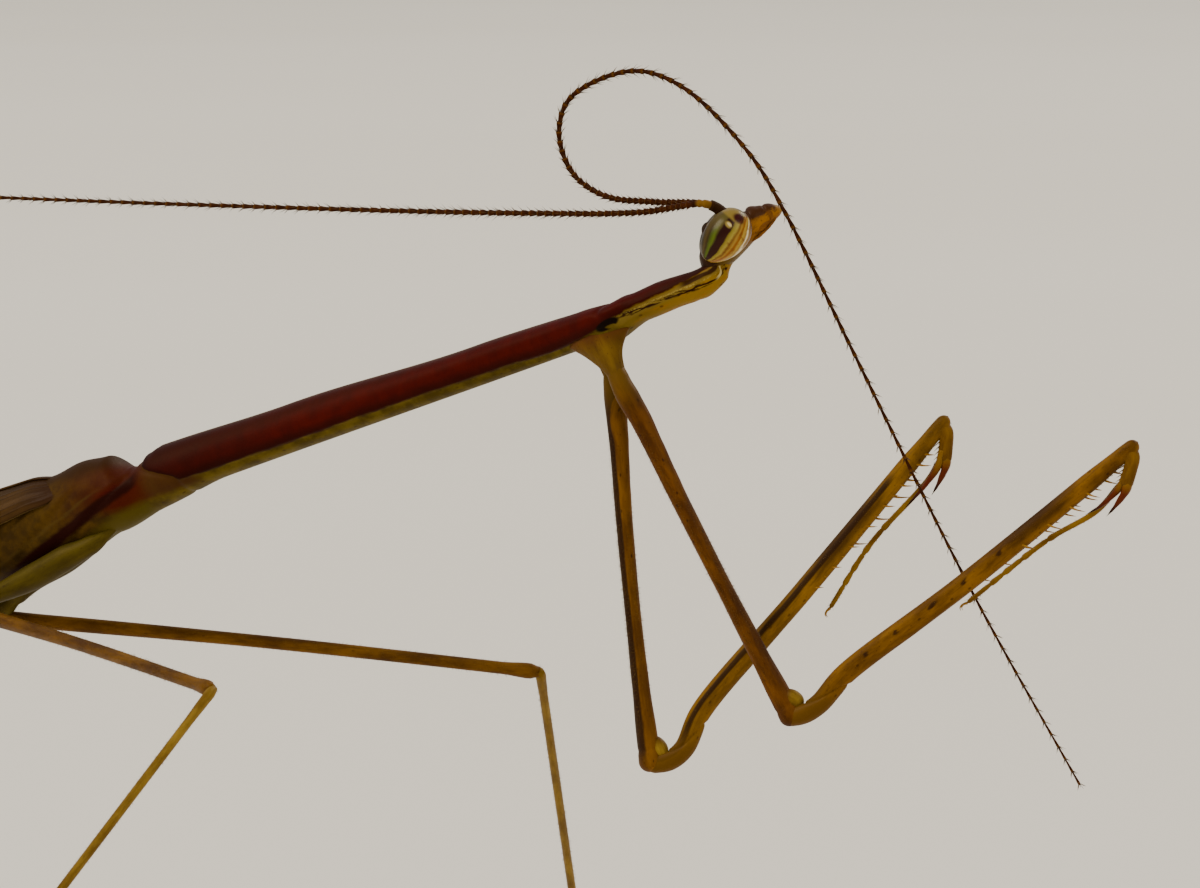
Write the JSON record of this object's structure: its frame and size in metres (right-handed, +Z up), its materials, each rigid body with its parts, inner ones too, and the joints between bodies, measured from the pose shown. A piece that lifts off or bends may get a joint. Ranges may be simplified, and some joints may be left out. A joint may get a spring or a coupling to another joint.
{
  "type": "male grass mantis",
  "caption": "Slender winged mantis on four thin legs, long prothorax raised, head turned to its left, grasping forelegs folded and held out ahead, one feeler looped over the head.",
  "frame": {"origin": "the middle of the floor area under the mantis: the centre of its bounding box in X and Y, at the level its feet stand on", "axes": "+X ahead, along the body from its tail to its head; +Y to the mantis's left; +Z up"},
  "size_m": [0.059, 0.0436, 0.0226],
  "materials": {
    "tergum": "dark maroon cuticle with a dull sheen",
    "pleura": "olive-brown cuticle with a dark stripe and a dull sheen",
    "belly": "ringed olive-tan cuticle with a dull sheen",
    "neck": "yellow-olive soft skin",
    "head_shell": "amber cuticle with dark streaks",
    "eye": "smooth shiny eye with lengthwise stripes",
    "limb": "golden-brown cuticle with dark dots and fine hair",
    "antenna": "dark brown, with tan ends on the joints",
    "wing": "thin veined olive-brown membrane"
  },
  "bodies": {
    "root": {"prothorax": "tergum", "mesothorax": "pleura", "metathorax": "pleura", "abdomen_base": "belly", "abdomen_middle": "belly", "abdomen_tip": "belly", "cercus_right": "limb", "cercus_left": "limb", "eye_right": "eye", "eye_left": "eye", "head": "head_shell", "mouthparts": "head_shell", "neck": "neck", "antenna_right_1": "antenna", "antenna_right_2": "antenna", "antenna_right_3": "antenna", "antenna_right_4": "antenna", "antenna_left_1": "antenna", "antenna_left_2": "antenna", "antenna_left_3": "antenna", "antenna_left_4": "antenna", "antenna_left_5": "antenna", "antenna_left_6": "antenna", "antenna_left_7": "antenna", "antenna_left_8": "antenna", "foreleg_right_coxa": "limb", "foreleg_right_femur": "limb", "foreleg_right_tibia": "limb", "foreleg_right_tarsus": "limb", "foreleg_left_coxa": "limb", "foreleg_left_femur": "limb", "foreleg_left_tibia": "limb", "foreleg_left_tarsus": "limb", "midleg_right_coxa": "limb", "midleg_right_femur": "limb", "midleg_right_tibia": "limb", "midleg_right_tarsus": "limb", "midleg_left_coxa": "limb", "midleg_left_femur": "limb", "midleg_left_tibia": "limb", "midleg_left_tarsus": "limb", "hindleg_right_coxa": "limb", "hindleg_right_femur": "limb", "hindleg_right_tibia": "limb", "hindleg_right_tarsus": "limb", "hindleg_left_coxa": "limb", "hindleg_left_femur": "limb", "hindleg_left_tibia": "limb", "hindleg_left_tarsus": "limb", "forewing_right": "wing", "forewing_left": "wing"}
  },
  "joints": []
}
